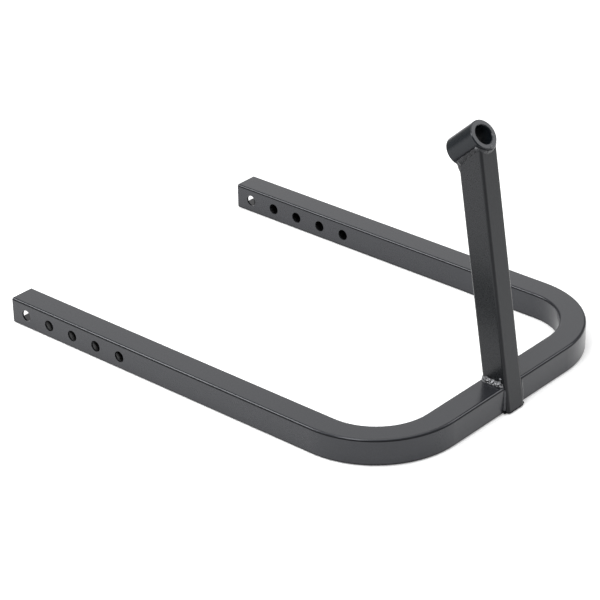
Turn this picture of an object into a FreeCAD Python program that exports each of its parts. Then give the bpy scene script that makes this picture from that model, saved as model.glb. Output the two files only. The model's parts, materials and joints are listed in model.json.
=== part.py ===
"""Upper frame of a paddock stand: a bent square-tube U, a leaning post and a pin boss, welded together.

Frame of the part: +X towards the closed end of the U, +Y across it, +Z up. The origin is on the
ground, in the middle of the overall length and width. Lengths are in millimetres, angles in degrees.
"""

import FreeCAD, Part
import math
import os

import Sketcher

# Driving dimensions: the name that formulas use, and its value.
DIMENSIONS = {
    # the U of square tube, lying flat
    "frame_length": 525.0,      # open ends of the legs to the crossbar's outer face
    "frame_width": 390.0,       # over the outside faces of the two legs
    "tube_side": 30.0,          # side of the U's square tube
    "frame_wall": 2.0,
    "frame_corner": 2.5,        # outer rounding of the U's tube
    "bend_outer": 100.0,        # radius of the bends' outer face
    "bend_inner": 64.0,         # radius of the inner face: the tube draws in a little at a bend
    # the cross holes that pin the legs into their sockets
    "hole_diameter": 12.5,
    "hole_first": 21.0,         # centre of the first hole from the open end
    "hole_pitch": 35.0,
    "hole_count": 5.0,
    # the post
    "post_depth": 30.5,         # along X, square to the post
    "post_width": 26.0,         # along Y
    "post_wall": 2.0,
    "post_corner": 3.25,
    "post_lean": 8.4,           # from upright, towards the open end
    "foot_proud": 6.3,          # post's front face ahead of the crossbar, at the ground
    "foot_gap": 2.0,            # the foot ends this far above the ground
    "post_stock": 330.0,        # length of the tube before it is trimmed
    # the boss that takes the steering-head pin
    "boss_diameter": 32.0,
    "boss_bore": 20.5,
    "boss_length": 41.0,
    "boss_rise": 42.0,          # its axis above the horizontal
    "boss_height": 278.6,       # its middle above the ground
    "boss_setback": 56.5,       # its middle behind the crossbar's outer face
    "boss_edge": 1.0,           # chamfer of its outer edges
    "bore_edge": 0.8,           # chamfer of its bore
    "saddle_level": 9.0,        # nothing of the post stands above this level below the boss's axis
    # weld beads, by the radius of their round section
    "bead_base": 4.0,
    "bead_foot": 3.4,
    "bead_toe": 3.2,
    "bead_saddle": 2.6,
    "bead_rear": 7.5,
    "bead_front": 2.8,
    "bead_end": 1.0,            # the beads at the base and the boss's rear stop this far short
    "toe_spread": 2.0,          # the toe bead runs this far past the post's sides
    "saddle_rear": 13.0,        # reach of the saddle beads from the boss's middle, to the rear
    "saddle_front": 17.0,       # and to the front
    "rear_sunk": 3.5,           # the rear bead's centre, in from the boss's end and from its underside
    "front_reach": 15.4,        # where the boss's underside meets the post's front, from its middle
}

doc = FreeCAD.newDocument("PaddockStandFrame")
sizes = doc.addObject("Spreadsheet::Sheet", "Sizes")
for row, (alias, value) in enumerate(DIMENSIONS.items(), start=1):
    sizes.set(f"A{row}", alias.replace("_", " "))
    sizes.set(f"B{row}", str(value))
    sizes.setAlias(f"B{row}", alias)
doc.recompute()

# Formulas that several pieces share.
LEAN = "Sizes.post_lean * 1 deg"
RISE = "Sizes.boss_rise * 1 deg"
HALF_TUBE = "Sizes.tube_side / 2"
HALF_DEPTH = "Sizes.post_depth / 2"
HALF_WIDTH = "Sizes.post_width / 2"
LEG_END = "-(Sizes.frame_length + Sizes.foot_proud) / 2"
CROSS_FACE = "(Sizes.frame_length - Sizes.foot_proud) / 2"
POST_AXIS = f"((Sizes.frame_length + Sizes.foot_proud) / 2 - {HALF_DEPTH} / cos({LEAN}))"
BOSS_X = f"({CROSS_FACE} - Sizes.boss_setback)"

MARGIN = 20.0                   # how far a cutting solid runs past what it cuts
SAME = 1e-3                     # lengths that differ by less are equal
PARALLEL = 0.999                # cosine between directions that count as parallel
ANY_ANGLE = 45.0                # keeps a rotation's axis until a formula sets its angle

X_AXIS = FreeCAD.Vector(1, 0, 0)
Y_AXIS = FreeCAD.Vector(0, 1, 0)
Z_AXIS = FreeCAD.Vector(0, 0, 1)


def size(alias):
    """A driving dimension's value, from the sheet."""
    return float(sizes.get(alias))


def bind(thing, **formulas):
    """Bind properties to formulas. A double underscore in a name stands for the dot in a path."""
    for path, formula in formulas.items():
        thing.setExpression(path.replace("__", "."), formula)


def place(thing, x="0", y="0", z="0"):
    """Bind a thing's position to formulas."""
    bind(thing, Placement__Base__x=x, Placement__Base__y=y, Placement__Base__z=z)


def turn(thing, axis, angle):
    """Turn a thing about an axis, by an angle bound to a formula that is positive."""
    thing.Placement = FreeCAD.Placement(FreeCAD.Vector(), FreeCAD.Rotation(axis, ANY_ANGLE))
    bind(thing, Placement__Rotation__Angle=angle)


def lean_back(thing):
    """Lean a thing that stands along Z as the post leans."""
    turn(thing, -Y_AXIS, LEAN)


def along_boss(thing):
    """Lay a thing that stands along Z along the boss's axis."""
    turn(thing, Y_AXIS, f"90 deg - {RISE}")


def across(thing):
    """Lay a thing that stands along Z across the part, along -Y."""
    turn(thing, X_AXIS, "90 deg")


# ---------------------------------------------------------------- sketches and bodies

def new_body(name):
    body = doc.addObject("PartDesign::Body", name)
    body.Label = name
    return body


def new_sketch(body, name, role):
    """An empty sketch on one of the body's own origin planes."""
    sketch = body.newObject("Sketcher::SketchObject", name)
    plane = [item for item in body.Origin.OriginFeatures if item.Role == role][0]
    sketch.AttachmentSupport = [(plane, "")]
    sketch.MapMode = "FlatFace"
    return sketch


def constrain(sketch, kind, *where, name=None, formula=None):
    """Add a constraint, and bind its value to a formula if it has one."""
    index = sketch.addConstraint(Sketcher.Constraint(kind, *where))
    if name:
        sketch.renameConstraint(index, name)
        sketch.setExpression(f"Constraints.{name}", formula)
    return index


def add_line(sketch, start, end):
    segment = Part.LineSegment(FreeCAD.Vector(*start, 0), FreeCAD.Vector(*end, 0))
    return sketch.addGeometry(segment, False)


def add_quarter(sketch, centre, radius, quarters):
    """A quarter circle, counter-clockwise from so many quarter turns past +X."""
    circle = Part.Circle(FreeCAD.Vector(*centre, 0), Z_AXIS, radius)
    start = quarters * math.pi / 2
    return sketch.addGeometry(Part.ArcOfCircle(circle, start, start + math.pi / 2), False)


def rounded_rectangle(sketch, prefix, sides, radius, formulas):
    """A rectangle with rounded corners, centred on the sketch's origin: x side, y side and radius."""
    half_x, half_y = sides[0] / 2, sides[1] / 2
    flat_x, flat_y = half_x - radius, half_y - radius
    top = add_line(sketch, (flat_x, half_y), (-flat_x, half_y))
    left = add_line(sketch, (-half_x, flat_y), (-half_x, -flat_y))
    bottom = add_line(sketch, (-flat_x, -half_y), (flat_x, -half_y))
    right = add_line(sketch, (half_x, -flat_y), (half_x, flat_y))
    corners = [
        add_quarter(sketch, (flat_x, flat_y), radius, 0),
        add_quarter(sketch, (-flat_x, flat_y), radius, 1),
        add_quarter(sketch, (-flat_x, -flat_y), radius, 2),
        add_quarter(sketch, (flat_x, -flat_y), radius, 3),
    ]
    lines = [right, top, left, bottom]
    for index, corner in enumerate(corners):
        constrain(sketch, "Tangent", lines[index], 2, corner, 1)
        constrain(sketch, "Tangent", corner, 2, lines[(index + 1) % 4], 1)
    for corner in corners[1:]:
        constrain(sketch, "Equal", corners[0], corner)
    constrain(sketch, "Horizontal", bottom)
    constrain(sketch, "Vertical", left)
    constrain(sketch, "Symmetric", right, 1, right, 2, -1)
    constrain(sketch, "Symmetric", top, 1, top, 2, -2)
    constrain(sketch, "DistanceX", left, 1, right, 1, sides[0], name=f"{prefix}_x", formula=formulas[0])
    constrain(sketch, "DistanceY", bottom, 1, top, 1, sides[1], name=f"{prefix}_y", formula=formulas[1])
    constrain(sketch, "Radius", corners[0], radius, name=f"{prefix}_r", formula=formulas[2])


def u_outline(sketch):
    """The U in plan: two legs from x = 0, two bends and the crossbar."""
    length, half_width, tube = size("frame_length"), size("frame_width") / 2, size("tube_side")
    outer, inner = size("bend_outer"), size("bend_inner")
    in_x, in_y = length - tube, half_width - tube
    outer_legs = [
        add_line(sketch, (0, half_width), (length - outer, half_width)),
        add_line(sketch, (0, -half_width), (length - outer, -half_width)),
    ]
    inner_legs = [
        add_line(sketch, (0, in_y), (in_x - inner, in_y)),
        add_line(sketch, (0, -in_y), (in_x - inner, -in_y)),
    ]
    outer_bar = add_line(sketch, (length, outer - half_width), (length, half_width - outer))
    inner_bar = add_line(sketch, (in_x, inner - in_y), (in_x, in_y - inner))
    ends = [
        add_line(sketch, (0, in_y), (0, half_width)),
        add_line(sketch, (0, -in_y), (0, -half_width)),
    ]
    bends = []
    for legs, bar, radius, x, y in (
        (outer_legs, outer_bar, outer, length - outer, half_width - outer),
        (inner_legs, inner_bar, inner, in_x - inner, in_y - inner),
    ):
        far = add_quarter(sketch, (x, y), radius, 0)
        near = add_quarter(sketch, (x, -y), radius, 3)
        constrain(sketch, "Tangent", bar, 2, far, 1)
        constrain(sketch, "Tangent", far, 2, legs[0], 2)
        constrain(sketch, "Tangent", legs[1], 2, near, 1)
        constrain(sketch, "Tangent", near, 2, bar, 1)
        constrain(sketch, "Equal", far, near)
        constrain(sketch, "Vertical", bar)
        bends.append(far)
    for index in (0, 1):
        constrain(sketch, "Coincident", ends[index], 1, inner_legs[index], 1)
        constrain(sketch, "Coincident", ends[index], 2, outer_legs[index], 1)
        constrain(sketch, "Horizontal", outer_legs[index])
        constrain(sketch, "Horizontal", inner_legs[index])
    constrain(sketch, "PointOnObject", ends[0], 2, -2)
    constrain(sketch, "Vertical", ends[0])
    constrain(sketch, "Symmetric", outer_legs[0], 1, outer_legs[1], 1, -1)
    constrain(sketch, "Symmetric", inner_legs[0], 1, inner_legs[1], 1, -1)
    tube_formula = "Sizes.tube_side"
    constrain(sketch, "DistanceX", outer_legs[0], 1, outer_bar, 1, length, name="reach",
              formula="Sizes.frame_length")
    constrain(sketch, "DistanceX", inner_bar, 1, outer_bar, 1, tube, name="bar_side",
              formula=tube_formula)
    constrain(sketch, "DistanceY", outer_legs[1], 1, outer_legs[0], 1, 2 * half_width, name="spread",
              formula="Sizes.frame_width")
    constrain(sketch, "DistanceY", inner_legs[0], 1, outer_legs[0], 1, tube, name="leg_side",
              formula=tube_formula)
    constrain(sketch, "Radius", bends[0], outer, name="outer_bend", formula="Sizes.bend_outer")
    constrain(sketch, "Radius", bends[1], inner, name="inner_bend", formula="Sizes.bend_inner")


def pad(body, sketch, formula, name, midplane=False):
    feature = body.newObject("PartDesign::Pad", name)
    feature.Profile = sketch
    if midplane:
        feature.SideType = "Symmetric"
    bind(feature, Length=formula)
    return feature


def long_edges(shape, top):
    """Names of the edges that run along the U, on its flat top and underside."""
    names = []
    for number, edge in enumerate(shape.Edges, start=1):
        box = edge.BoundBox
        is_level = box.ZLength < SAME and min(abs(box.ZMin), abs(box.ZMin - top)) < SAME
        if is_level and box.XMax > SAME:
            names.append(f"Edge{number}")
    return names


def end_faces(shape):
    """Names of the two faces at the open ends of the legs."""
    return [f"Face{n}" for n, face in enumerate(shape.Faces, start=1) if face.BoundBox.XMax < SAME]


# ---------------------------------------------------------------- the three structural pieces

def make_u_frame():
    """One length of square tube, bent twice, open at both ends and drilled across each leg."""
    body = new_body("u_frame")
    outline = new_sketch(body, "FrameOutline", "XY_Plane")
    u_outline(outline)
    bar = pad(body, outline, "Sizes.tube_side", "FrameBar")
    doc.recompute()

    rounded = body.newObject("PartDesign::Fillet", "FrameRounding")
    rounded.Base = (bar, long_edges(bar.Shape, size("tube_side")))
    bind(rounded, Radius="Sizes.frame_corner")
    doc.recompute()

    hollow = body.newObject("PartDesign::Thickness", "FrameHollow")
    hollow.Base = (rounded, end_faces(rounded.Shape))
    hollow.Mode = "Skin"
    hollow.Join = "Intersection"
    hollow.Reversed = True
    bind(hollow, Value="Sizes.frame_wall")
    doc.recompute()

    spot = new_sketch(body, "HoleOutline", "XZ_Plane")
    centre = FreeCAD.Vector(size("hole_first"), size("tube_side") / 2, 0)
    ring = spot.addGeometry(Part.Circle(centre, Z_AXIS, size("hole_diameter") / 2), False)
    constrain(spot, "Radius", ring, size("hole_diameter") / 2, name="hole_r",
              formula="Sizes.hole_diameter / 2")
    constrain(spot, "DistanceX", -1, 1, ring, 3, size("hole_first"), name="hole_x",
              formula="Sizes.hole_first")
    constrain(spot, "DistanceY", -1, 1, ring, 3, size("tube_side") / 2, name="hole_z",
              formula=HALF_TUBE)
    drilled = body.newObject("PartDesign::Pocket", "LegHole")
    drilled.Profile = spot
    drilled.SideType = "Symmetric"
    bind(drilled, Length=f"Sizes.frame_width + 2 * {MARGIN}")
    doc.recompute()

    row = body.newObject("PartDesign::LinearPattern", "LegHoles")
    row.Originals = [drilled]
    x_axis = [item for item in body.Origin.OriginFeatures if item.Role == "X_Axis"][0]
    row.Direction = (x_axis, [""])
    bind(row, Length="Sizes.hole_pitch * (Sizes.hole_count - 1)", Occurrences="Sizes.hole_count")
    body.Tip = row
    place(body, x=LEG_END)
    doc.recompute()
    return body


def make_post_stock():
    """The post's tube as it comes: straight, open at both ends, standing on the ground and leaning."""
    body = new_body("post_stock")
    outline = new_sketch(body, "PostOutline", "XY_Plane")
    depth, width = size("post_depth"), size("post_width")
    corner, wall = size("post_corner"), size("post_wall")
    rounded_rectangle(outline, "outer", (depth, width), corner,
                      ("Sizes.post_depth", "Sizes.post_width", "Sizes.post_corner"))
    rounded_rectangle(outline, "inner", (depth - 2 * wall, width - 2 * wall), corner - wall,
                      ("Sizes.post_depth - 2 * Sizes.post_wall",
                       "Sizes.post_width - 2 * Sizes.post_wall",
                       "Sizes.post_corner - Sizes.post_wall"))
    pad(body, outline, "2 * Sizes.post_stock", "PostTube", midplane=True)
    lean_back(body)
    place(body, x=POST_AXIS)
    return body


def make_boss():
    """A short thick tube with chamfered edges, its bore open at both ends."""
    body = new_body("pin_boss")
    outline = new_sketch(body, "BossOutline", "XY_Plane")
    for name, alias in (("outside", "boss_diameter"), ("bore", "boss_bore")):
        ring = outline.addGeometry(Part.Circle(FreeCAD.Vector(), Z_AXIS, size(alias) / 2), False)
        constrain(outline, "Coincident", ring, 3, -1, 1)
        constrain(outline, "Radius", ring, size(alias) / 2, name=f"{name}_r",
                  formula=f"Sizes.{alias} / 2")
    previous = pad(body, outline, "Sizes.boss_length", "BossTube", midplane=True)
    doc.recompute()
    for name, alias, edge in (("BossEdges", "boss_diameter", "boss_edge"),
                              ("BoreEdges", "boss_bore", "bore_edge")):
        rims = [f"Edge{n}" for n, rim in enumerate(previous.Shape.Edges, start=1)
                if rim.isClosed() and abs(rim.BoundBox.XLength - size(alias)) < SAME
                and abs(abs(rim.BoundBox.ZMin) - size("boss_length") / 2) < SAME]
        chamfer = body.newObject("PartDesign::Chamfer", name)
        chamfer.Base = (previous, rims)
        bind(chamfer, Size=f"Sizes.{edge}")
        doc.recompute()
        previous = chamfer
    along_boss(body)
    place(body, x=BOSS_X, z="Sizes.boss_height")
    return body


# ---------------------------------------------------------------- solids that only cut

def block(name, x_size, y_size, z_size):
    """A box whose sizes are formulas. It is placed by its lowest corner."""
    box = doc.addObject("Part::Box", name)
    bind(box, Length=x_size, Width=y_size, Height=z_size)
    return box


def rod(name, radius, length):
    """A cylinder whose sizes are formulas, standing along Z from its position."""
    cylinder = doc.addObject("Part::Cylinder", name)
    bind(cylinder, Radius=radius, Height=length)
    return cylinder


def round_edges(base, name, radius, direction):
    """Round the four edges of a box that run along its own X, Y or Z."""
    doc.recompute()
    chosen = []
    for number, edge in enumerate(base.Shape.Edges, start=1):
        ends = [vertex.Point for vertex in edge.Vertexes]
        run = base.Placement.Rotation.inverted().multVec(ends[1] - ends[0])
        if abs(run.normalize().dot(direction)) > PARALLEL:
            chosen.append((number, radius, radius))
    rounding = doc.addObject("Part::Fillet", name)
    rounding.Base = base
    rounding.Edges = chosen
    return rounding


def cut(base, tools, name):
    """Base less all the tools, as one object."""
    tool = tools[0]
    if len(tools) > 1:
        tool = doc.addObject("Part::MultiFuse", f"{name}_tools")
        tool.Shapes = tools
    result = doc.addObject("Part::Cut", name)
    result.Label = name
    result.Base = base
    result.Tool = tool
    return result


def make_crossbar_space():
    """The space that the crossbar's straight middle fills, without its hollow."""
    reach = "3 * Sizes.tube_side"
    box = block("CrossbarBlock", "Sizes.tube_side", f"2 * {reach}", "Sizes.tube_side")
    place(box, x=f"{CROSS_FACE} - Sizes.tube_side", y=f"-{reach}")
    return round_edges(box, "CrossbarSpace", size("frame_corner"), Y_AXIS)


def make_post_space():
    """The space that the post's tube fills, without its hollow, from the foot's end up."""
    box = block("PostBlock", "Sizes.post_depth", "Sizes.post_width", "Sizes.post_stock")
    lean_back(box)
    below = "Sizes.tube_side"
    place(box, x=f"{POST_AXIS} - {HALF_DEPTH} * cos({LEAN}) + {below} * sin({LEAN})",
          y=f"-{HALF_WIDTH}", z=f"-{HALF_DEPTH} * sin({LEAN}) - {below} * cos({LEAN})")
    rounded = round_edges(box, "PostColumn", size("post_corner"), Z_AXIS)
    return cut(rounded, [make_ground("SpaceGround")], "PostSpace")


def make_boss_space():
    """A rod as thick as the boss, along its axis, that runs past both of its ends."""
    cylinder = rod("BossSpace", "Sizes.boss_diameter / 2", f"Sizes.boss_length + 2 * {MARGIN}")
    along_boss(cylinder)
    back = f"(Sizes.boss_length / 2 + {MARGIN})"
    place(cylinder, x=f"{BOSS_X} - {back} * cos({RISE})", z=f"Sizes.boss_height - {back} * sin({RISE})")
    return cylinder


def make_ground(name):
    """Everything below the end of the post's foot."""
    depth = f"(Sizes.post_stock + {MARGIN})"
    box = block(name, "6 * Sizes.tube_side", "4 * Sizes.tube_side", depth)
    place(box, x=f"{POST_AXIS} - 3 * Sizes.tube_side", y="-2 * Sizes.tube_side",
          z=f"Sizes.foot_gap - {depth}")
    return box


def make_sky():
    """Everything of the post above a plane along the boss's axis, a little below it."""
    box = block("SaddleCut", "4 * Sizes.tube_side", "2 * Sizes.tube_side", "6 * Sizes.tube_side")
    turn(box, -Y_AXIS, RISE)
    back, down = "2 * Sizes.tube_side", "Sizes.saddle_level"
    place(box, x=f"{BOSS_X} - {back} * cos({RISE}) + {down} * sin({RISE})", y="-Sizes.tube_side",
          z=f"Sizes.boss_height - {back} * sin({RISE}) - {down} * cos({RISE})")
    return box


# ---------------------------------------------------------------- weld beads

BEAD_GAP = 0.1                  # between one bead and the next


def bead_pair(name, section, length, x, z, tools, lay=None):
    """A pair of beads beside the post's two side walls, each a trimmed rod along its corner."""
    pair = []
    for side, sign in (("left", ""), ("right", "-")):
        core = rod(f"{name}_{side}_core", section, length)
        if lay:
            lay(core)
        place(core, x=x, y=f"{sign}({HALF_WIDTH})", z=z)
        pair.append(cut(core, tools, f"{name}_{side}"))
    return pair


def bead_across(name, section, half_length, x, z, tools):
    """A bead that runs across the part, centred on the middle plane: a trimmed rod."""
    core = rod(f"{name}_core", section, f"2 * ({half_length})")
    across(core)
    place(core, x=x, y=half_length, z=z)
    return cut(core, tools, name)


def along_x(thing):
    """Lay a thing that stands along Z along +X."""
    turn(thing, Y_AXIS, "90 deg")


def boss_x(along, down):
    """X of a point in the middle plane: so far up the boss's axis, and so far below it."""
    return f"{BOSS_X} + ({along}) * cos({RISE}) + ({down}) * sin({RISE})"


def boss_z(along, down):
    """Z of that point."""
    return f"Sizes.boss_height + ({along}) * sin({RISE}) - ({down}) * cos({RISE})"


def make_base_welds(joint):
    """On top of the crossbar, along the post's two sides and its back."""
    welds = bead_pair("weld_base", "Sizes.bead_base", "Sizes.tube_side - Sizes.bead_end",
                      f"{CROSS_FACE} - Sizes.tube_side", "Sizes.tube_side", joint, along_x)
    back_face = f"{POST_AXIS} - Sizes.tube_side * tan({LEAN}) - {HALF_DEPTH} / cos({LEAN})"
    half_length = f"{HALF_WIDTH} - Sizes.bead_base - {BEAD_GAP}"
    welds.append(bead_across("weld_base_rear", "Sizes.bead_base", half_length, back_face,
                             "Sizes.tube_side", joint))
    return welds


def make_foot_welds(joint):
    """Up the crossbar's outer face, at the sides of the post's foot, and under the foot."""
    low = f"(Sizes.foot_gap + Sizes.bead_toe + {BEAD_GAP})"
    high = f"(Sizes.tube_side - Sizes.bead_base - {BEAD_GAP})"
    welds = bead_pair("weld_foot", "Sizes.bead_foot", f"{high} - {low}", CROSS_FACE, low, joint)
    ground = block("WeldGround", "4 * Sizes.tube_side", "4 * Sizes.tube_side", "Sizes.tube_side")
    place(ground, x=f"{CROSS_FACE} - 2 * Sizes.tube_side", y="-2 * Sizes.tube_side",
          z="-Sizes.tube_side")
    toe = f"{CROSS_FACE} + Sizes.foot_proud - Sizes.bead_toe"
    welds.append(bead_across("weld_foot_toe", "Sizes.bead_toe", f"{HALF_WIDTH} + Sizes.toe_spread",
                             toe, "Sizes.foot_gap", joint + [ground]))
    return welds


def make_boss_welds(boss, post_space, boss_space):
    """Under the boss: along the post's two side walls, and across its back and its front."""
    radius = "Sizes.boss_diameter / 2"
    contact = f"sqrt(({radius}) ^ 2 - ({HALF_WIDTH}) ^ 2)"
    welds = bead_pair("weld_saddle", "Sizes.bead_saddle", "Sizes.saddle_rear + Sizes.saddle_front",
                      boss_x("-Sizes.saddle_rear", contact), boss_z("-Sizes.saddle_rear", contact),
                      [boss, boss_space, post_space], along_boss)
    rear_end = "-Sizes.boss_length / 2"
    sunk = f"{radius} - Sizes.rear_sunk"
    welds.append(bead_across("weld_boss_rear", "Sizes.bead_rear", f"{HALF_WIDTH} - Sizes.bead_end",
                             boss_x(f"{rear_end} + Sizes.rear_sunk", sunk),
                             boss_z(f"{rear_end} + Sizes.rear_sunk", sunk),
                             [boss, post_space, boss_space]))
    welds.append(bead_across("weld_boss_front", "Sizes.bead_front", f"{HALF_WIDTH} / 2",
                             boss_x("Sizes.front_reach", radius), boss_z("Sizes.front_reach", radius),
                             [post_space, boss_space]))
    return welds


# ---------------------------------------------------------------- assembly

def check(things):
    """Stop if any object failed, or any piece is empty or broken."""
    for thing in doc.Objects:
        if {"Invalid", "Error"} & set(thing.State):
            raise RuntimeError(f"{thing.Name} failed: {thing.State}")
    for thing in things:
        shape = thing.Shape
        if shape.isNull() or not shape.isValid() or shape.Volume <= 0:
            raise RuntimeError(f"{thing.Label} has no valid shape")


u_frame = make_u_frame()
boss = make_boss()
crossbar_space = make_crossbar_space()
post_space = make_post_space()
boss_space = make_boss_space()
post = cut(make_post_stock(), [crossbar_space, boss_space, make_sky(), make_ground("FootCut")], "post")
doc.recompute()
joint = [crossbar_space, post_space]
welds = make_base_welds(joint) + make_foot_welds(joint) + make_boss_welds(boss, post_space, boss_space)
doc.recompute()

pieces = [u_frame, post, boss] + welds
check(pieces)
os.makedirs("parts", exist_ok=True)
for piece in pieces:
    box = piece.Shape.optimalBoundingBox(False)
    print(f"{piece.Label:18s} solids {len(piece.Shape.Solids)}  volume {piece.Shape.Volume:10.1f}  "
          f"x {box.XMin:8.2f} {box.XMax:8.2f}  y {box.YMin:8.2f} {box.YMax:8.2f}  "
          f"z {box.ZMin:7.2f} {box.ZMax:7.2f}")
    piece.Shape.exportStep(f"parts/{piece.Label}.step")
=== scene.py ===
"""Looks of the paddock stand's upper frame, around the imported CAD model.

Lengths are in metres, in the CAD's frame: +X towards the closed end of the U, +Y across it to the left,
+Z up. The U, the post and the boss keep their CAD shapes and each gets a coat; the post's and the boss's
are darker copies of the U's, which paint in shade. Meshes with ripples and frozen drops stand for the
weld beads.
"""

import json
import math
import random

import bmesh
import bpy
from mathutils import Matrix, Vector


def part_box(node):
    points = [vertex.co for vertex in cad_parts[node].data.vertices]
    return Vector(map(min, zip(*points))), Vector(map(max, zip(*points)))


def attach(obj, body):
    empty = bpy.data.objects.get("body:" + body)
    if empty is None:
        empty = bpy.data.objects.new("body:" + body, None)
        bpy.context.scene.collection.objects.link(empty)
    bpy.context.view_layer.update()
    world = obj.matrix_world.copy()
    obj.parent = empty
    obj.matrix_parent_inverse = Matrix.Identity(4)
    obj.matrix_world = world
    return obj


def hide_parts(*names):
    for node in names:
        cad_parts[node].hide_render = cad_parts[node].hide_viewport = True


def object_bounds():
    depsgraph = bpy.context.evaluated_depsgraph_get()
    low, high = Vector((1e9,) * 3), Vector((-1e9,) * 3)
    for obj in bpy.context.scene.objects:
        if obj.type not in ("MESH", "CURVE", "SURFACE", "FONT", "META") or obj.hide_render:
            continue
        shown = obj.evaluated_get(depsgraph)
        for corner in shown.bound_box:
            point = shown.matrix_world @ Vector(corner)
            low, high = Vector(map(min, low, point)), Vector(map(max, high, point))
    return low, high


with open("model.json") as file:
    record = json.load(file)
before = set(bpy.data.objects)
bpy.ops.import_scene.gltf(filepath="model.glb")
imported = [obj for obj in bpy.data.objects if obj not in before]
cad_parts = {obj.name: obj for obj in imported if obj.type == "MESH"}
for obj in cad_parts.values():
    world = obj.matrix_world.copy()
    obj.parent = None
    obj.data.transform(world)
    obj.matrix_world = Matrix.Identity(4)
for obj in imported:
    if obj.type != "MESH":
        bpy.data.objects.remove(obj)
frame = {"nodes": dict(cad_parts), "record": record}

cad_low, cad_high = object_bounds()
MM = 0.001

# ---------------------------------------------------------------- camera

AIM = Vector((-0.0245, 0.0, 0.0277))
DISTANCE = 2.687
AZIMUTH = math.radians(41.748)      # from the right side of the frame, round towards its closed end
ELEVATION = math.radians(28.387)
ROLL = math.radians(-1.268)
LENS = 150.49
SENSOR = 36.0
FAR_CLIP = 50.0


def make_camera():
    back = Vector((
        math.sin(AZIMUTH) * math.cos(ELEVATION),
        -math.cos(AZIMUTH) * math.cos(ELEVATION),
        math.sin(ELEVATION),
    ))
    level = back.to_track_quat("Z", "Y").to_matrix().to_4x4()
    place = Matrix.Translation(AIM + back * DISTANCE)
    data = bpy.data.cameras.new("camera")
    data.lens = LENS
    data.sensor_width = SENSOR
    data.clip_end = FAR_CLIP
    camera = bpy.data.objects.new("camera", data)
    camera.matrix_world = place @ level @ Matrix.Rotation(ROLL, 4, "Z")
    bpy.context.scene.collection.objects.link(camera)
    bpy.context.scene.camera = camera


# ---------------------------------------------------------------- the frame's joints, from the CAD

# Sizes that the CAD's boxes and mounts don't give.
POST_LEAN = math.radians(8.4)
POST_DEPTH = 30.5 * MM
POST_CORNER = 3.25 * MM
TUBE_CORNER = 2.5 * MM
BOSS_LENGTH = 41.0 * MM

bar_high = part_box("u_frame")[1]
post_low, post_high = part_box("post")
BAR_TOP = bar_high.z
BAR_FACE = bar_high.x
BAR_BACK = BAR_FACE - BAR_TOP
LEG_MIDDLE = bar_high.y - BAR_TOP / 2
HALF_WIDTH = post_high.y
HALF_DEPTH = POST_DEPTH / 2

pin_bore = [mount for mount in frame["record"]["mounts"] if mount["name"] == "pin_bore"][0]
BOSS_MIDDLE = Vector(pin_bore["pos_m"])
BOSS_AXIS = Vector(pin_bore["axis"])
BOSS_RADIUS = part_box("pin_boss")[1].y
HALF_BOSS = BOSS_LENGTH / 2
ACROSS = Vector((0.0, 1.0, 0.0))
BOSS_DOWN = ACROSS.cross(BOSS_AXIS)
POST_UP = Vector((-math.sin(POST_LEAN), 0.0, math.cos(POST_LEAN)))
POST_FRONT = Vector((math.cos(POST_LEAN), 0.0, math.sin(POST_LEAN)))
FOOT = Vector((post_high.x, 0.0, post_low.z)) - POST_FRONT * HALF_DEPTH     # on the post's axis

# A place on the post's outline, square to its axis, is named by the angle of its outward normal, in
# degrees. Whole quarters are the flat sides, and the angles between them are the rounded corners.
FRONT, LEFT, REAR, RIGHT = 0, 90, 180, 270
FLAT_POINTS = 60
PAST_FLAT = 3                       # the first angle taken on a corner, next to a flat side


def steps(start, end, count):
    """Evenly spaced values, with both ends."""
    return [start + (end - start) * index / (count - 1) for index in range(count)]


def corner_point(turn):
    """A point on one of the outline's rounded corners, and its outward normal."""
    angle = math.radians(turn)
    out_x, out_y = math.cos(angle), math.sin(angle)
    corner_x = (HALF_DEPTH - POST_CORNER) * math.copysign(1.0, out_x)
    corner_y = (HALF_WIDTH - POST_CORNER) * math.copysign(1.0, out_y)
    normal = POST_FRONT * out_x + ACROSS * out_y
    return FOOT + POST_FRONT * corner_x + ACROSS * corner_y + normal * POST_CORNER, normal


def flat_side(turn):
    """Points along one of the outline's flat sides, and their outward normal."""
    angle = math.radians(turn)
    out_x, out_y = round(math.cos(angle)), round(math.sin(angle))
    normal = POST_FRONT * out_x + ACROSS * out_y
    tangent = ACROSS * out_x - POST_FRONT * out_y
    reach = HALF_DEPTH if out_x else HALF_WIDTH
    half_side = (HALF_WIDTH if out_x else HALF_DEPTH) - POST_CORNER
    return [
        (FOOT + normal * reach + tangent * along, normal)
        for along in steps(-half_side, half_side, FLAT_POINTS)
    ]


def outline_run(turns):
    """Points and normals of the post's outline through these angles."""
    found = []
    for turn in turns:
        if turn % 90 == 0:
            found.extend(flat_side(turn))
        else:
            found.append(corner_point(turn))
    return found


def raise_to_height(point, height):
    """The point moved along the post's axis to a height above the ground."""
    return point + POST_UP * ((height - point.z) / POST_UP.z)


def raise_to_boss(point):
    """The point moved along the post's axis up to the underside of the boss, or of its extension."""
    offset = point - BOSS_MIDDLE
    level, rise = offset.dot(BOSS_DOWN), POST_UP.dot(BOSS_DOWN)
    reach = math.sqrt(BOSS_RADIUS ** 2 - offset.y ** 2)
    return point + POST_UP * ((reach - level) / rise)


def on_boss(along, around, radius):
    """A point so far up the boss's axis, at an angle from its underside towards the left."""
    level = BOSS_DOWN * math.cos(around) + ACROSS * math.sin(around)
    return BOSS_MIDDLE + BOSS_AXIS * along + level * radius


# ---------------------------------------------------------------- materials

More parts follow.
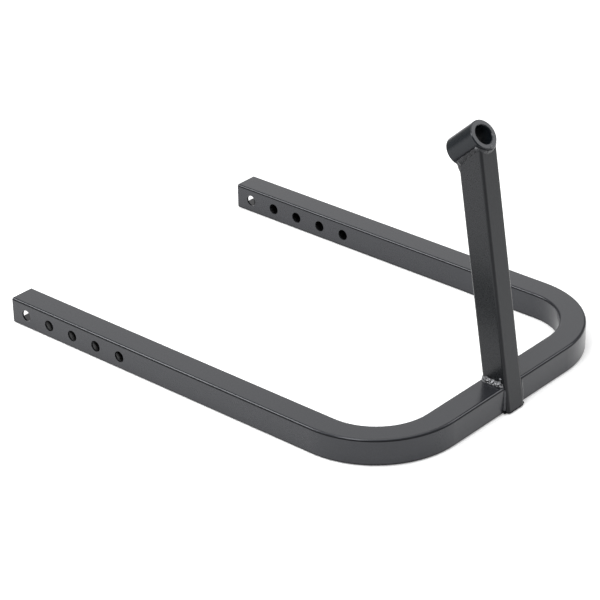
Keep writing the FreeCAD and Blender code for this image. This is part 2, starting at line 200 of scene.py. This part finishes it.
CLOUD_SCALE = 14.0                  # slow clouds of tone and gloss
CLOUD_SHARE = 0.5                   # the clouds' part in the tone, beside the grain's
GRAIN_SCALE = 900.0
PEEL_SCALE = 520.0
TONE_START, TONE_END = 0.35, 1.0    # where the noise reaches the darkest and the lightest tone
GLOSS_SPREAD = 0.06                 # the roughness varies this far to either side
COOL_TINT = (0.95, 0.96, 1.0, 1.0)
PLAIN_LEVEL = 0.5                   # the shader's own level of reflection

# Sockets of a Mix node that mixes colours.
MIX_FACTOR, MIX_FIRST, MIX_SECOND, MIX_RESULT = 0, 6, 7, 2

# Colours laid over the coat, each with a level of reflection, in turn: painted shade on the rounded
# edges, painted shade inside the legs, random dark patches on the base beads, and painted shade in the
# groove along a weld's toe on the boss.
EDGE_SHADE = (0.004, 0.004, 0.005), 0.12
INSIDE_SHADE = (0.014, 0.014, 0.015), 0.25
DARK_PATCHES = (0.008, 0.008, 0.009), 0.05
TOE_SHADE = (0.003, 0.003, 0.004), 0.05

PATCH_SCALE = 480.0
PATCH_STRETCH = (0.55, 1.0, 1.0)
PATCH_STOPS = (0.50, 0.0), (0.60, 1.0)
TOE_SHADE_STOPS = (0.40, 1.0), (0.65, 0.0)     # over the distance from the boss, in millimetres


def node(tree, kind, x, y, **inputs):
    """Adds a shader node of this kind and sets its inputs by name."""
    made = tree.nodes.new(kind)
    made.location = (x, y)
    for name, value in inputs.items():
        made.inputs[name.replace("_", " ")].default_value = value
    return made


def calculate(tree, operation, first, second, x, y):
    """Adds a Math node. Each of its two inputs is a number or another node's output."""
    made = node(tree, "ShaderNodeMath", x, y)
    made.operation = operation
    for socket, value in zip(made.inputs, (first, second)):
        if isinstance(value, float):
            socket.default_value = value
        else:
            tree.links.new(value, socket)
    return made.outputs[0]


def ramp(tree, value, stops, x, y):
    """A grey ramp through stops of position and level."""
    made = node(tree, "ShaderNodeValToRGB", x, y)
    elements = made.color_ramp.elements
    elements[0].position, elements[1].position = stops[0][0], stops[-1][0]
    for position, _ in stops[1:-1]:
        elements.new(position)
    for element, (_, level) in zip(elements, stops):
        element.color = (level, level, level, 1.0)
    tree.links.new(value, made.inputs["Fac"])
    return made.outputs["Color"]


def powder_coat(name, colour, roughness=0.22, peel=0.22, ior=1.5, contrast=0.2, depth=0.2 * MM):
    """Satin powder coat: orange peel, fine grain, and slow clouds of tone and gloss.

    Peel is the strength of the orange peel and depth its height. Contrast is how far the tone varies.
    """
    material = bpy.data.materials.new(name)
    material.use_nodes = True
    tree = material.node_tree
    tree.nodes.clear()
    out = node(tree, "ShaderNodeOutputMaterial", 900, 0)
    shader = node(tree, "ShaderNodeBsdfPrincipled", 600, 0)
    shader.inputs["IOR"].default_value = ior
    shader.inputs["Specular Tint"].default_value = COOL_TINT
    tree.links.new(shader.outputs["BSDF"], out.inputs["Surface"])

    place = node(tree, "ShaderNodeTexCoord", -900, 0)
    clouds = node(tree, "ShaderNodeTexNoise", -600, 300, Scale=CLOUD_SCALE, Detail=3.0, Roughness=0.5)
    grain = node(tree, "ShaderNodeTexNoise", -600, 0, Scale=GRAIN_SCALE, Detail=2.0, Roughness=0.6)
    skin = node(tree, "ShaderNodeTexNoise", -600, -300, Scale=PEEL_SCALE, Detail=1.0, Roughness=0.4)
    for texture in (clouds, grain, skin):
        tree.links.new(place.outputs["Object"], texture.inputs["Vector"])

    both = node(tree, "ShaderNodeMath", -350, 200)
    both.operation = "MULTIPLY_ADD"
    both.inputs[1].default_value = CLOUD_SHARE
    tree.links.new(clouds.outputs["Fac"], both.inputs[0])
    tree.links.new(grain.outputs["Fac"], both.inputs[2])

    tone = node(tree, "ShaderNodeValToRGB", -100, 300)
    darkest, lightest = tone.color_ramp.elements
    darkest.position, lightest.position = TONE_START, TONE_END
    darkest.color = (*[channel * (1 - contrast) for channel in colour], 1.0)
    lightest.color = (*[channel * (1 + contrast) for channel in colour], 1.0)
    tree.links.new(both.outputs[0], tone.inputs["Fac"])
    tree.links.new(tone.outputs["Color"], shader.inputs["Base Color"])

    gloss = node(tree, "ShaderNodeMapRange", -100, 0)
    gloss.inputs["To Min"].default_value = roughness - GLOSS_SPREAD
    gloss.inputs["To Max"].default_value = roughness + GLOSS_SPREAD
    tree.links.new(clouds.outputs["Fac"], gloss.inputs["Value"])
    tree.links.new(gloss.outputs["Result"], shader.inputs["Roughness"])

    bump = node(tree, "ShaderNodeBump", 300, -300, Strength=peel, Distance=depth)
    tree.links.new(skin.outputs["Fac"], bump.inputs["Height"])
    tree.links.new(bump.outputs["Normal"], shader.inputs["Normal"])
    return material


def overlay(material, mask, colour, level):
    """Where the mask is one, the coat has this colour and this level of reflection instead."""
    tree = material.node_tree
    shader = tree.nodes["Principled BSDF"]
    mix = node(tree, "ShaderNodeMix", 300, 600)
    mix.data_type = "RGBA"
    mix.inputs[MIX_SECOND].default_value = (*colour, 1.0)
    tree.links.new(mask, mix.inputs[MIX_FACTOR])
    tree.links.new(shader.inputs["Base Color"].links[0].from_socket, mix.inputs[MIX_FIRST])
    tree.links.new(mix.outputs[MIX_RESULT], shader.inputs["Base Color"])

    shine = node(tree, "ShaderNodeMapRange", 300, 300)
    shine.inputs["To Max"].default_value = level
    earlier = shader.inputs["Specular IOR Level"].links
    if earlier:
        tree.links.new(earlier[0].from_socket, shine.inputs["To Min"])
    else:
        shine.inputs["To Min"].default_value = PLAIN_LEVEL
    tree.links.new(mask, shine.inputs["Value"])
    tree.links.new(shine.outputs["Result"], shader.inputs["Specular IOR Level"])


def paint_edge_shade(material, axis, stops):
    """Painted shade on rounded edges: darker and duller where the normal leans along an axis, standing
    for the dark reflection that runs along them.
    """
    tree = material.node_tree
    facing = node(tree, "ShaderNodeNewGeometry", -1500, -600)
    split = node(tree, "ShaderNodeSeparateXYZ", -1300, -600)
    tree.links.new(facing.outputs["Normal"], split.inputs[0])
    lean = calculate(tree, "ABSOLUTE", split.outputs[axis], 0.0, -1100, -600)
    overlay(material, ramp(tree, lean, stops, -900, -600), *EDGE_SHADE)


def paint_inside_shade(material):
    """Painted shade inside the legs: their inner walls get a dark, dull colour.

    The mask is a square inside each leg's walls, from the open end to the middle of the part.
    """
    tree = material.node_tree
    position = node(tree, "ShaderNodeTexCoord", -1500, 900)
    split = node(tree, "ShaderNodeSeparateXYZ", -1300, 900)
    tree.links.new(position.outputs["Object"], split.inputs[0])
    half = BAR_TOP / 2
    across = calculate(tree, "ABSOLUTE", split.outputs["Y"], 0.0, -1100, 1000)
    mask = calculate(tree, "LESS_THAN", split.outputs["X"], 0.0, -500, 600)
    for value, middle, y in ((across, LEG_MIDDLE, 1000), (split.outputs["Z"], half, 800)):
        offset = calculate(tree, "SUBTRACT", value, middle, -900, y)
        distance = calculate(tree, "ABSOLUTE", offset, 0.0, -700, y)
        within = calculate(tree, "LESS_THAN", distance, half - MM, -500, y)
        mask = calculate(tree, "MULTIPLY", within, mask, -300, y)
    overlay(material, mask, *INSIDE_SHADE)


def add_dark_patches(material):
    """Dark patches at random on a weld, stretched along X."""
    tree = material.node_tree
    position = node(tree, "ShaderNodeTexCoord", -1500, 900)
    stretch = node(tree, "ShaderNodeMapping", -1400, 900, Scale=PATCH_STRETCH)
    patches = node(tree, "ShaderNodeTexNoise", -1300, 900, Scale=PATCH_SCALE, Detail=2.0, Roughness=0.6)
    tree.links.new(position.outputs["Object"], stretch.inputs["Vector"])
    tree.links.new(stretch.outputs["Vector"], patches.inputs["Vector"])
    overlay(material, ramp(tree, patches.outputs["Fac"], PATCH_STOPS, -1100, 900), *DARK_PATCHES)


def paint_toe_shade(material):
    """Painted shade in the groove along a weld's toe on the boss: darker and duller close to the boss's
    surface.
    """
    tree = material.node_tree
    position = node(tree, "ShaderNodeTexCoord", -1700, 900)
    offset = node(tree, "ShaderNodeVectorMath", -1500, 900)
    offset.operation = "SUBTRACT"
    offset.inputs[1].default_value = BOSS_MIDDLE
    moment = node(tree, "ShaderNodeVectorMath", -1350, 900)
    moment.operation = "CROSS_PRODUCT"
    moment.inputs[1].default_value = BOSS_AXIS
    from_axis = node(tree, "ShaderNodeVectorMath", -1200, 900)
    from_axis.operation = "LENGTH"
    tree.links.new(position.outputs["Object"], offset.inputs[0])
    tree.links.new(offset.outputs["Vector"], moment.inputs[0])
    tree.links.new(moment.outputs["Vector"], from_axis.inputs[0])
    gap = calculate(tree, "SUBTRACT", from_axis.outputs["Value"], BOSS_RADIUS, -1050, 900)
    millimetres = calculate(tree, "DIVIDE", gap, MM, -1000, 900)
    overlay(material, ramp(tree, millimetres, TOE_SHADE_STOPS, -900, 900), *TOE_SHADE)


def dress(part, material):
    """Gives the part this material and no other."""
    part.data.materials.clear()
    part.data.materials.append(material)


# ---------------------------------------------------------------- weld beads

SECTION_POINTS = 14
SUNK = 0.7 * MM                     # how far a bead's root lies inside the steel
ON_SURFACE = 0.05 * MM              # how far a toe lies under the surface that it runs onto
MIN_SIZE = 0.12                     # a bead's share of its full size where it starts and ends

RIPPLE_DRAWS = 31
RIPPLE_LOW, RIPPLE_HIGH = 0.6, 1.3
GROOVE_SHARPNESS = 0.55
FLATNESS = 0.6                      # how evenly a ripple's height spreads over the section
TOE_RIPPLE = 0.15                   # a ripple's share of its height at the toes
SWELL_RATE = 2.1                    # slow swelling along the run, against the ripples' pitch
PHASE_START = 40                    # keeps the ripples' phase positive

DROP_SLOT = 1                       # the material slot of the drops on a bead
DROP_THIN, DROP_WIDE = 0.8, 1.2     # shares of its radius that a drop may have
DROP_DENT = 0.1


class Joint:
    """A place along a weld: the corner between two pieces, and the bead's toe on each of them."""

    def __init__(self, corner, toe_a, toe_b, bulge):
        self.corner = corner
        self.toe_a = toe_a
        self.toe_b = toe_b
        self.bulge = bulge
        self.out = ((toe_a + toe_b) / 2 - corner).normalized()

    def section(self, size):
        """Points from toe to toe over a bead of this share of its full size."""
        start = self.corner.lerp(self.toe_a, size)
        end = self.corner.lerp(self.toe_b, size)
        crown = (start + end) / 2 + self.out * (self.bulge * size * 2)
        points = []
        for step in range(SECTION_POINTS):
            u = step / (SECTION_POINTS - 1)
            points.append(start * (1 - u) ** 2 + crown * (2 * u * (1 - u)) + end * u ** 2)
        return points


def spacing(before, after):
    """The distance between two joints, measured a little outside their corners."""
    return (after.corner + after.out * MM - before.corner - before.out * MM).length


def ripple_height(phase, draws):
    """Height of the ripples at a phase, from -0.5 to 0.5: round backs and sharp grooves between them."""
    number = math.floor(phase)
    back = abs(math.sin(math.pi * phase)) ** GROOVE_SHARPNESS
    return (back - 0.5) * draws[number % len(draws)]


def make_bead(joints, pitch, ripple, bow, seed, cap=None, uneven=0.06):
    """A weld bead through a row of joints.

    Ripples of this height, a pitch apart, bow along the run by a share of the pitch. The bead rounds
    off over the cap's length at both ends, and its size is uneven by a share.
    """
    draw = random.Random(seed)
    draws = [draw.uniform(RIPPLE_LOW, RIPPLE_HIGH) for _ in range(RIPPLE_DRAWS)]
    cap = cap or (joints[0].toe_a - joints[0].toe_b).length * 0.5
    run = [0.0]
    for before, after in zip(joints, joints[1:]):
        run.append(run[-1] + spacing(before, after))

    bead = bmesh.new()
    rings = []
    for joint, distance in zip(joints, run):
        edge = min(distance, run[-1] - distance, cap)
        size = max(MIN_SIZE, math.sqrt(1 - (1 - edge / cap) ** 2))
        swell = 1 + uneven * math.sin(distance / pitch * SWELL_RATE + seed)
        ring = []
        for step, point in enumerate(joint.section(size * swell)):
            u = step / (SECTION_POINTS - 1)
            crown = math.sin(math.pi * u) ** FLATNESS if 0 < u < 1 else 0.0
            phase = distance / pitch - bow * 4 * u * (1 - u) + PHASE_START
            share = TOE_RIPPLE + (1 - TOE_RIPPLE) * crown
            height = ripple * size * share * ripple_height(phase, draws)
            ring.append(bead.verts.new(point + joint.out * height))
        ring.append(bead.verts.new(joint.corner - joint.out * SUNK))
        rings.append(ring)

    count = SECTION_POINTS + 1
    for ring, following in zip(rings, rings[1:]):
        for step in range(count):
            after = (step + 1) % count
            bead.faces.new((ring[step], ring[after], following[after], following[step]))
    bead.faces.new(list(reversed(rings[0])))
    bead.faces.new(rings[-1])
    return bead


def add_drop(bead, place, radius, seed):
    """A drop of weld metal frozen onto the surface, slightly out of round."""
    draw = random.Random(seed)
    made = bmesh.ops.create_icosphere(bead, subdivisions=3, radius=radius)["verts"]
    squash = Vector((
        draw.uniform(DROP_THIN, DROP_WIDE),
        draw.uniform(DROP_THIN, DROP_WIDE),
        draw.uniform(DROP_THIN, 1.0),
    ))
    for face in {face for vertex in made for face in vertex.link_faces}:
        face.material_index = DROP_SLOT
    for vertex in made:
        waves = math.sin(vertex.co.x / radius * 3 + seed) * math.cos(vertex.co.y / radius * 4)
        round_point = Vector(part * share for part, share in zip(vertex.co, squash))
        vertex.co = round_point * (1 + DROP_DENT * waves) + place


def finish_bead(bead, name, node_name, material, drops=None):
    """Makes the bead a piece of its own that stands for a CAD node, which it hides, and keeps it short
    of the CAD's far end along X.
    """
    for vertex in bead.verts:
        vertex.co.x = min(vertex.co.x, cad_high.x)
    bmesh.ops.recalc_face_normals(bead, faces=bead.faces)
    mesh = bpy.data.meshes.new(name)
    mesh.materials.append(material)
    mesh.materials.append(drops or material)
    bead.to_mesh(mesh)
    bead.free()
    for face in mesh.polygons:
        face.use_smooth = True
    piece = bpy.data.objects.new(name, mesh)
    bpy.context.scene.collection.objects.link(piece)
    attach(piece, "root")
    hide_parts(node_name)


# Round the post, on top of the crossbar: how far a bead reaches over the crossbar and up the post.
SIDE_LEG, SIDE_RISE = 4.6 * MM, 4.6 * MM
REAR_LEG, REAR_RISE = 2.8 * MM, 4.2 * MM
REAR_FALL = Vector((-0.5, 0.0, -0.87))      # down over the crossbar's rounded edge
BASE_BULGE = 0.9 * MM
BASE_FRONT = BAR_FACE - 1.2 * MM            # the side beads stop here
SIDE_TURN = 42                              # they run so far round the rear corners
REAR_TURN = 44                              # the rear bead starts so far round them
BASE_CORNER = 14                            # joints on a corner


def base_joints(turns):
    """Joints where the post's outline meets the top of the crossbar."""
    made = []
    for point, normal in outline_run(turns):
        level = Vector((normal.x, normal.y, 0.0)).normalized()
        past_edge = max(0.0, BAR_BACK + TUBE_CORNER - raise_to_height(point, BAR_TOP).x)
        corner = raise_to_height(point, BAR_TOP - past_edge ** 2 / (2 * TUBE_CORNER))
        back = max(0.0, -level.x)
        leg = level * SIDE_LEG * (1 - back) + (REAR_FALL * REAR_LEG) * back
        toe = corner + leg
        toe.z = min(toe.z, BAR_TOP)
        rise = SIDE_RISE * (1 - back) + REAR_RISE * back
        if corner.x < BASE_FRONT:
            made.append(Joint(corner, toe, corner + POST_UP * rise, BASE_BULGE))
    return made


def make_base_beads(material):
    """Round the post on top of the crossbar: one bead along each side, one along the back."""
    right = base_joints([*steps(RIGHT - SIDE_TURN, RIGHT - PAST_FLAT, BASE_CORNER), RIGHT])
    bead = make_bead(right, pitch=2.8 * MM, ripple=1.2 * MM, bow=1.1, seed=3, uneven=0.13)
    # Two drops near its front end: one on the post above it, one on the crossbar beside it.
    on_post = right[len(right) * 6 // 7].corner + Vector((0.0, -0.3 * MM, 8.0 * MM))
    on_bar = right[len(right) * 4 // 5].toe_a + Vector((0.0, -1.2 * MM, 0.0))
    add_drop(bead, on_post, radius=1.2 * MM, seed=5)
    add_drop(bead, on_bar, radius=0.4 * MM, seed=8)
    finish_bead(bead, "base_bead_right", "weld_base_right", material)

    left = base_joints([LEFT, *steps(LEFT + PAST_FLAT, LEFT + SIDE_TURN, BASE_CORNER)])
    bead = make_bead(left, pitch=2.5 * MM, ripple=0.6 * MM, bow=0.8, seed=11)
    finish_bead(bead, "base_bead_left", "weld_base_left", material)

    rear = base_joints([
        *steps(LEFT + REAR_TURN, REAR - PAST_FLAT, BASE_CORNER),
        REAR,
        *steps(REAR + PAST_FLAT, RIGHT - REAR_TURN, BASE_CORNER),
    ])
    bead = make_bead(rear, pitch=2.4 * MM, ripple=0.6 * MM, bow=0.8, seed=17)
    finish_bead(bead, "base_bead_rear", "weld_base_rear", material)


# Beside the foot: how far the bead reaches along the crossbar's face.
FOOT_LEG_LEFT, FOOT_LEG_RIGHT = 4.4 * MM, 1.7 * MM
FOOT_SHARE = 0.14                           # its bulge, as a share of that reach
FOOT_RIPPLE = 0.12                          # its ripples, as a share of it
FOOT_LOW = BAR_TOP * 0.1
FOOT_HIGH = BAR_TOP - TUBE_CORNER
CORNER_COVER = 0.35                         # it stays this share of the post's rounding from the front
FOOT_JOINTS = 70

TOE_RADIUS = 1.5 * MM
TOE_HEIGHT = 1.9 * MM
TOE_INSET = 0.75                            # its middle lies this share of its radius inside the post
TOE_BULGE = TOE_RADIUS * 0.9
TOE_START, TOE_END = -90, 60                # from the right side to the left front corner
TOE_PAST_FLAT = 4


def make_foot_sides(material):
    """Up the crossbar's outer face, along both sides of the post's foot."""
    front_foot = FOOT + POST_FRONT * HALF_DEPTH
    for side, sign, leg, seed in (("left", 1.0, FOOT_LEG_LEFT, 21), ("right", -1.0, FOOT_LEG_RIGHT, 23)):
        joints = []
        for height in steps(FOOT_LOW, FOOT_HIGH, FOOT_JOINTS):
            corner = Vector((BAR_FACE, sign * HALF_WIDTH, height))
            front = raise_to_height(front_foot, height).x - BAR_FACE
            reach = min(leg, front - POST_CORNER * CORNER_COVER)
            toe = corner + Vector((0.0, sign * leg, 0.0))
            joints.append(Joint(corner, toe, corner + Vector((reach, 0.0, 0.0)), leg * FOOT_SHARE))
        bead = make_bead(joints, pitch=2.4 * MM, ripple=leg * FOOT_RIPPLE, bow=0.7, seed=seed)
        finish_bead(bead, f"foot_bead_{side}", f"weld_foot_{side}", material)


def make_foot_toe(material):
    """Round the foot's lower end, from the crossbar's face on the right to the left front corner."""
    path = [place for place in outline_run([TOE_START]) if place[0].x > BAR_FACE - MM]
    path += outline_run(steps(TOE_START, -TOE_PAST_FLAT, 16)[1:])
    path += outline_run([FRONT, *steps(TOE_PAST_FLAT, TOE_END, 12)])
    joints = []
    for point, normal in path:
        middle = raise_to_height(point, TOE_HEIGHT) - normal * TOE_RADIUS * TOE_INSET
        low = middle + Vector((0.0, 0.0, -TOE_RADIUS))
        high = middle + Vector((0.0, 0.0, TOE_RADIUS))
        joints.append(Joint(middle - normal * TOE_RADIUS, low, high, TOE_BULGE))
    bead = make_bead(joints, pitch=2.2 * MM, ripple=0.35 * MM, bow=0.5, seed=31, cap=1.5 * MM)
    lip = middle + Vector((-0.6 * MM, 1.6 * MM, 0.4 * MM))
    start = Vector((BAR_FACE + 1.2 * MM, -HALF_WIDTH - 0.9 * MM, 1.7 * MM))
    add_drop(bead, lip, radius=1.6 * MM, seed=33)
    add_drop(bead, start, radius=1.5 * MM, seed=35)
    finish_bead(bead, "foot_bead_toe", "weld_foot_toe", material)


# Between the boss and the post. A bead climbs the boss and drops down the post.
CONTACT = math.asin(HALF_WIDTH / BOSS_RADIUS)       # where the post's sides meet the boss
SADDLE_REAR, SADDLE_FRONT = -16.5 * MM, 18.6 * MM   # ends of the side beads, along the boss's axis
SADDLE_CLIMB = 3.7 * MM
SADDLE_CLIMB_LOSS = 0.6 * MM                        # less climb at the rear end
SADDLE_DROP = 2.2                                   # in millimetres
SADDLE_DROP_GAIN = 2.5                              # more drop at the rear end, in millimetres
SADDLE_BULGE = 0.75 * MM
SADDLE_JOINTS = 110

REAR_CLIMB = 4.6 * MM
REAR_CLIMB_LEAST = 0.3                              # of the full climb, at the sides
REAR_DROP = 9.0 * MM
REAR_DROP_LEAST = 0.45
REAR_BULGE = 1.0 * MM
REAR_START = 20                                     # it starts so far round from the post's sides
REAR_CORNER = 20                                    # joints on a corner
REAR_OUT = -(POST_FRONT * 0.9 - BOSS_DOWN * 0.2).normalized()

FRONT_CLIMB = 3.0 * MM
FRONT_GAP = 1.1 * MM                                # clear of the boss's end, behind its chamfer
FRONT_DROP = 3.2 * MM
FRONT_BULGE = 0.5 * MM
FRONT_TURN = 62                                     # it runs so far round both front corners
FRONT_CORNER = 16                                   # joints on a corner


def make_saddle_beads(material, drops):
    """Along both side walls of the post, under the boss."""
    for side, sign, seed in (("left", 1.0, 41), ("right", -1.0, 43)):
        joints = []
        for along in steps(SADDLE_REAR, SADDLE_FRONT, SADDLE_JOINTS):
            corner = on_boss(along, sign * CONTACT, BOSS_RADIUS)
            rear = max(0.0, along / SADDLE_REAR)
            climb = (SADDLE_CLIMB - SADDLE_CLIMB_LOSS * rear) / BOSS_RADIUS
            toe = on_boss(along, sign * (CONTACT + climb), BOSS_RADIUS - ON_SURFACE)
            fall = (SADDLE_DROP + SADDLE_DROP_GAIN * rear ** 2) * MM
            drop = BOSS_DOWN * fall - ACROSS * (sign * ON_SURFACE)
            joints.append(Joint(corner, toe, corner + drop, SADDLE_BULGE))
        bead = make_bead(joints, pitch=2.6 * MM, ripple=0.3 * MM, bow=0.6, seed=seed, cap=2.0 * MM)
        place = on_boss(16.0 * MM, sign * (CONTACT + 0.12), BOSS_RADIUS + 0.2 * MM)
        add_drop(bead, place, radius=1.8 * MM, seed=seed)
        finish_bead(bead, f"saddle_bead_{side}", f"weld_saddle_{side}", material, drops)


def make_boss_rear(material):
    """Across the post's back, onto the boss's rear end."""
    joints = []
    left_corner = steps(LEFT + REAR_START, REAR - PAST_FLAT, REAR_CORNER)
    right_corner = steps(REAR + PAST_FLAT, RIGHT - REAR_START, REAR_CORNER)
    for point, normal in outline_run([*left_corner, REAR, *right_corner]):
        backward = -normal.dot(POST_FRONT)
        corner = raise_to_boss(point)
        around = math.asin(corner.y / BOSS_RADIUS)
        climb = REAR_CLIMB * max(REAR_CLIMB_LEAST, backward)
        toe = on_boss(-HALF_BOSS - 0.1 * MM, around, BOSS_RADIUS - climb)
        drop = REAR_DROP * (REAR_DROP_LEAST + (1 - REAR_DROP_LEAST) * max(0.0, backward))
        joint = Joint(corner, toe, corner - POST_UP * drop, REAR_BULGE)
        joint.out = REAR_OUT
        joints.append(joint)
    bead = make_bead(joints, pitch=2.6 * MM, ripple=0.5 * MM, bow=0.5, seed=51, cap=3.0 * MM)
    finish_bead(bead, "boss_bead_rear", "weld_boss_rear", material)


def make_boss_front(material, drops):
    """Across the post's front, under the boss's front end."""
    joints = []
    right_corner = steps(-FRONT_TURN, -PAST_FLAT, FRONT_CORNER)
    left_corner = steps(PAST_FLAT, FRONT_TURN, FRONT_CORNER)
    for point, _ in outline_run([*right_corner, FRONT, *left_corner]):
        corner = raise_to_boss(point)
        around = math.asin(corner.y / BOSS_RADIUS)
        along = (corner - BOSS_MIDDLE).dot(BOSS_AXIS)
        toe = on_boss(min(along + FRONT_CLIMB, HALF_BOSS - FRONT_GAP), around, BOSS_RADIUS - ON_SURFACE)
        joints.append(Joint(corner, toe, corner - POST_UP * FRONT_DROP, FRONT_BULGE))
    bead = make_bead(joints, pitch=2.4 * MM, ripple=0.35 * MM, bow=0.6, seed=61, cap=2.0 * MM)
    place = on_boss(HALF_BOSS - 0.3 * MM, 0.0, BOSS_RADIUS - 1.6 * MM)
    add_drop(bead, place, radius=1.6 * MM, seed=63)
    finish_bead(bead, "boss_bead_front", "weld_boss_front", material, drops)


# ---------------------------------------------------------------- stage

FLOOR_HALF = 6.0
FLOOR_GAP = 0.2 * MM                # keeps the floor off the object's underside
FLOOR_COLOUR = (0.9, 0.9, 0.9, 1.0)
FLOOR_ROUGHNESS = 0.9
FLOOR_LEVEL = 0.1                   # of reflection
FLOOR_GLOW = 0.3                    # keeps the floor white under soft shadows
WHITE = (1.0, 1.0, 1.0, 1.0)
WORLD_LEVEL = 0.30

GROUND_AIM = Vector((0.0, 0.0, 0.05))
BOSS_AIM = Vector((-0.04, 0.0, 0.28))

# Square panels: name, place, side, power, and the point that they face. Overhead lights the whole
# scene. The others stand where the camera sees them mirrored: back left in the tops of the tubes, left
# high in the legs' rounded edges, front high in the boss's chamfer, and back right in its front end.
LIGHTS = (
    ("overhead", (0.0, 0.2, 2.4), 2.4, 34.0, GROUND_AIM),
    ("back_left", (-1.87, 2.10, 1.52), 2.0, 11.5, GROUND_AIM),
    ("left_high", (-1.62, -1.31, 1.80), 1.1, 34.0, GROUND_AIM),
    ("front_high", (0.26, -1.55, 2.20), 0.9, 26.0, BOSS_AIM),
    ("back_right", (1.30, 1.84, 1.75), 0.9, 12.0, BOSS_AIM),
)


def make_floor():
    mesh = bpy.data.meshes.new("floor")
    half = FLOOR_HALF
    corners = [(-half, -half, 0.0), (half, -half, 0.0), (half, half, 0.0), (-half, half, 0.0)]
    mesh.from_pydata(corners, [], [(0, 1, 2, 3)])
    floor = bpy.data.objects.new("floor", mesh)
    floor.location.z = cad_low.z - FLOOR_GAP
    bpy.context.scene.collection.objects.link(floor)
    material = bpy.data.materials.new("floor")
    material.use_nodes = True
    shader = material.node_tree.nodes["Principled BSDF"]
    shader.inputs["Base Color"].default_value = FLOOR_COLOUR
    shader.inputs["Roughness"].default_value = FLOOR_ROUGHNESS
    shader.inputs["Specular IOR Level"].default_value = FLOOR_LEVEL
    shader.inputs["Emission Color"].default_value = WHITE
    shader.inputs["Emission Strength"].default_value = FLOOR_GLOW
    dress(floor, material)


def make_light(name, place, side, power, aim):
    """A large square panel of light, out of the camera's sight."""
    data = bpy.data.lights.new(name, "AREA")
    data.shape = "SQUARE"
    data.size = side
    data.energy = power
    lamp = bpy.data.objects.new(name, data)
    lamp.location = place
    lamp.rotation_mode = "QUATERNION"
    lamp.rotation_quaternion = (Vector(place) - aim).to_track_quat("Z", "Y")
    lamp.visible_camera = False
    bpy.context.scene.collection.objects.link(lamp)


def make_world():
    world = bpy.data.worlds.new("studio")
    world.use_nodes = True
    background = world.node_tree.nodes["Background"]
    background.inputs["Color"].default_value = WHITE
    background.inputs["Strength"].default_value = WORLD_LEVEL
    bpy.context.scene.world = world


# ---------------------------------------------------------------- the whole scene

make_camera()
make_floor()
make_world()
for light in LIGHTS:
    make_light(*light)
bpy.context.scene.view_settings.view_transform = "Standard"

# Painted shade along a tube's rounded edges, found by the size of its normal's part along an axis: a
# band with soft limits.
frame_coat = powder_coat("frame_coat", (0.016, 0.017, 0.020), ior=1.48)
paint_edge_shade(frame_coat, "Z", ((0.03, 0.0), (0.12, 1.0), (0.36, 1.0), (0.48, 0.0)))
paint_inside_shade(frame_coat)
# The post and the boss take darker copies of the frame's coat: painted shade.
post_coat = powder_coat("post_coat", (0.010, 0.011, 0.012), roughness=0.24, ior=1.38)
paint_edge_shade(post_coat, "Y", ((0.30, 0.0), (0.50, 0.45), (0.85, 0.45), (0.97, 0.0)))
boss_coat = powder_coat("boss_coat", (0.006, 0.008, 0.010), ior=1.36, contrast=0.35)
weld_coat = powder_coat("weld_coat", (0.024, 0.025, 0.028), roughness=0.18, peel=0.6)
saddle_coat = powder_coat("saddle_coat", (0.012, 0.013, 0.014), peel=0.5, ior=1.42)
paint_toe_shade(saddle_coat)
# A lighter copy of the saddle coat for the weld drops: painted highlight.
highlit_drop = powder_coat("highlit_drop", (0.075, 0.077, 0.080), roughness=0.25, peel=0.4, ior=1.7)
# A lighter copy of the weld coat for the base beads: its lighter base colour is a painted highlight for
# their glints.
highlit_bead = powder_coat(
    "highlit_bead", (0.110, 0.112, 0.116), roughness=0.16, peel=1.0, ior=2.3, contrast=0.5, depth=1.2 * MM
)
add_dark_patches(highlit_bead)
# A darker copy of the weld coat for the toe under the foot: painted shade, as it faces down.
shaded_toe_bead = powder_coat("shaded_toe_bead", (0.005, 0.005, 0.006), roughness=0.45, peel=0.6, ior=1.25)

COATS = {"u_frame": frame_coat, "post": post_coat, "pin_boss": boss_coat}
for name, part in frame["nodes"].items():
    dress(part, COATS.get(name, weld_coat))
make_base_beads(highlit_bead)
make_foot_sides(weld_coat)
make_foot_toe(shaded_toe_bead)
make_saddle_beads(saddle_coat, highlit_drop)
make_boss_rear(saddle_coat)
make_boss_front(saddle_coat, highlit_drop)
